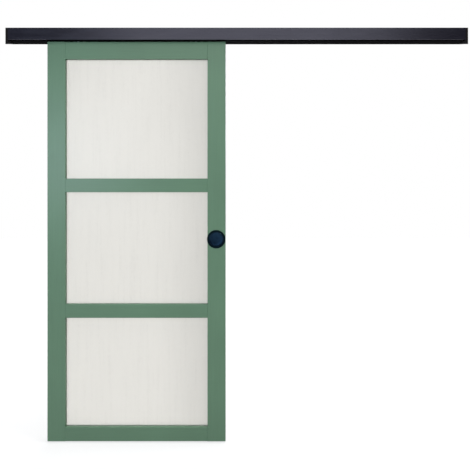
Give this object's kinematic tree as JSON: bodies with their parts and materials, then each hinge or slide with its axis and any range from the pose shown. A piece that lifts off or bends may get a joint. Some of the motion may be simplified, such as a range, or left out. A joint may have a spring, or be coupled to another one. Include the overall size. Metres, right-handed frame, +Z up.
{
  "type": "glass sliding door",
  "caption": "Top-hung sliding door with a green frame, frosted panes, a round flush pull and a black wall rail with a valance; the door rolls along the rail.",
  "frame": {"origin": "middle of the row of wall holes, on the wall face", "axes": "+X along the rail to the right seen from the room, +Y towards the wall, +Z up"},
  "size_m": [2.33, 0.085, 2.109],
  "materials": {
    "black_aluminium": "satin",
    "black_plastic": "matte",
    "steel": "satin",
    "buffer_rubber": "matte",
    "pale_nylon": "satin",
    "green_paint": "satin",
    "beech": "matte",
    "frosted_glass": "matte",
    "glazing_tape": "matte",
    "black_pull": "satin"
  },
  "bodies": {
    "rail": {"track_rail": "black_aluminium", "valance": "black_aluminium", "left_end_cap": "black_plastic", "right_end_cap": "black_plastic", "valance_clips": "black_plastic", "clip_screws": "steel", "left_stop": "steel", "right_stop": "steel", "left_stop_buffer": "buffer_rubber", "right_stop_buffer": "buffer_rubber", "stop_set_screws": "steel", "floor_guide": "pale_nylon"},
    "door": {"guide_channel": "black_plastic", "left_carriage": "black_plastic", "right_carriage": "black_plastic", "left_hanger_plate": "steel", "right_hanger_plate": "steel", "hanger_plate_screws": "steel", "left_hanger_bolt": "steel", "right_hanger_bolt": "steel", "hanger_lock_nuts": "steel", "carriage_axles": "steel", "left_stile": "green_paint", "right_stile": "green_paint", "top_rail": "green_paint", "bottom_rail": "green_paint", "upper_crossbar": "green_paint", "lower_crossbar": "green_paint", "top_pane_upper_bead": "green_paint", "top_pane_lower_bead": "green_paint", "top_pane_left_bead": "green_paint", "top_pane_right_bead": "green_paint", "middle_pane_upper_bead": "green_paint", "middle_pane_lower_bead": "green_paint", "middle_pane_left_bead": "green_paint", "middle_pane_right_bead": "green_paint", "bottom_pane_upper_bead": "green_paint", "bottom_pane_lower_bead": "green_paint", "bottom_pane_left_bead": "green_paint", "bottom_pane_right_bead": "green_paint", "frame_dowels": "beech", "top_pane": "frosted_glass", "middle_pane": "frosted_glass", "bottom_pane": "frosted_glass", "top_pane_tape": "glazing_tape", "middle_pane_tape": "glazing_tape", "bottom_pane_tape": "glazing_tape", "front_pull": "black_pull", "rear_pull": "black_pull"},
    "left_outer_wheel_pair": {"left_outer_wheels": "pale_nylon", "left_outer_bearings": "steel"},
    "left_inner_wheel_pair": {"left_inner_wheels": "pale_nylon", "left_inner_bearings": "steel"},
    "right_inner_wheel_pair": {"right_inner_wheels": "pale_nylon", "right_inner_bearings": "steel"},
    "right_outer_wheel_pair": {"right_outer_wheels": "pale_nylon", "right_outer_bearings": "steel"}
  },
  "joints": [
    {"name": "door_slide", "type": "slide", "parent": "rail", "child": "door", "axis": [1, 0, 0], "range_m": [0, 0.85]},
    {"name": "left_outer_wheel_spin", "type": "hinge", "parent": "door", "child": "left_outer_wheel_pair", "pos_m": [-0.841, -0.033, -0.0309], "axis": [0, 1, 0], "continuous": true},
    {"name": "left_inner_wheel_spin", "type": "hinge", "parent": "door", "child": "left_inner_wheel_pair", "pos_m": [-0.789, -0.033, -0.0309], "axis": [0, 1, 0], "continuous": true},
    {"name": "right_inner_wheel_spin", "type": "hinge", "parent": "door", "child": "right_inner_wheel_pair", "pos_m": [-0.235, -0.033, -0.0309], "axis": [0, 1, 0], "continuous": true},
    {"name": "right_outer_wheel_spin", "type": "hinge", "parent": "door", "child": "right_outer_wheel_pair", "pos_m": [-0.183, -0.033, -0.0309], "axis": [0, 1, 0], "continuous": true}
  ],
  "couplings": [
    {"joint": "left_outer_wheel_spin", "follows": "door_slide", "rad_per_m": 90.909},
    {"joint": "left_inner_wheel_spin", "follows": "door_slide", "rad_per_m": 90.909},
    {"joint": "right_inner_wheel_spin", "follows": "door_slide", "rad_per_m": 90.909},
    {"joint": "right_outer_wheel_spin", "follows": "door_slide", "rad_per_m": 90.909}
  ]
}
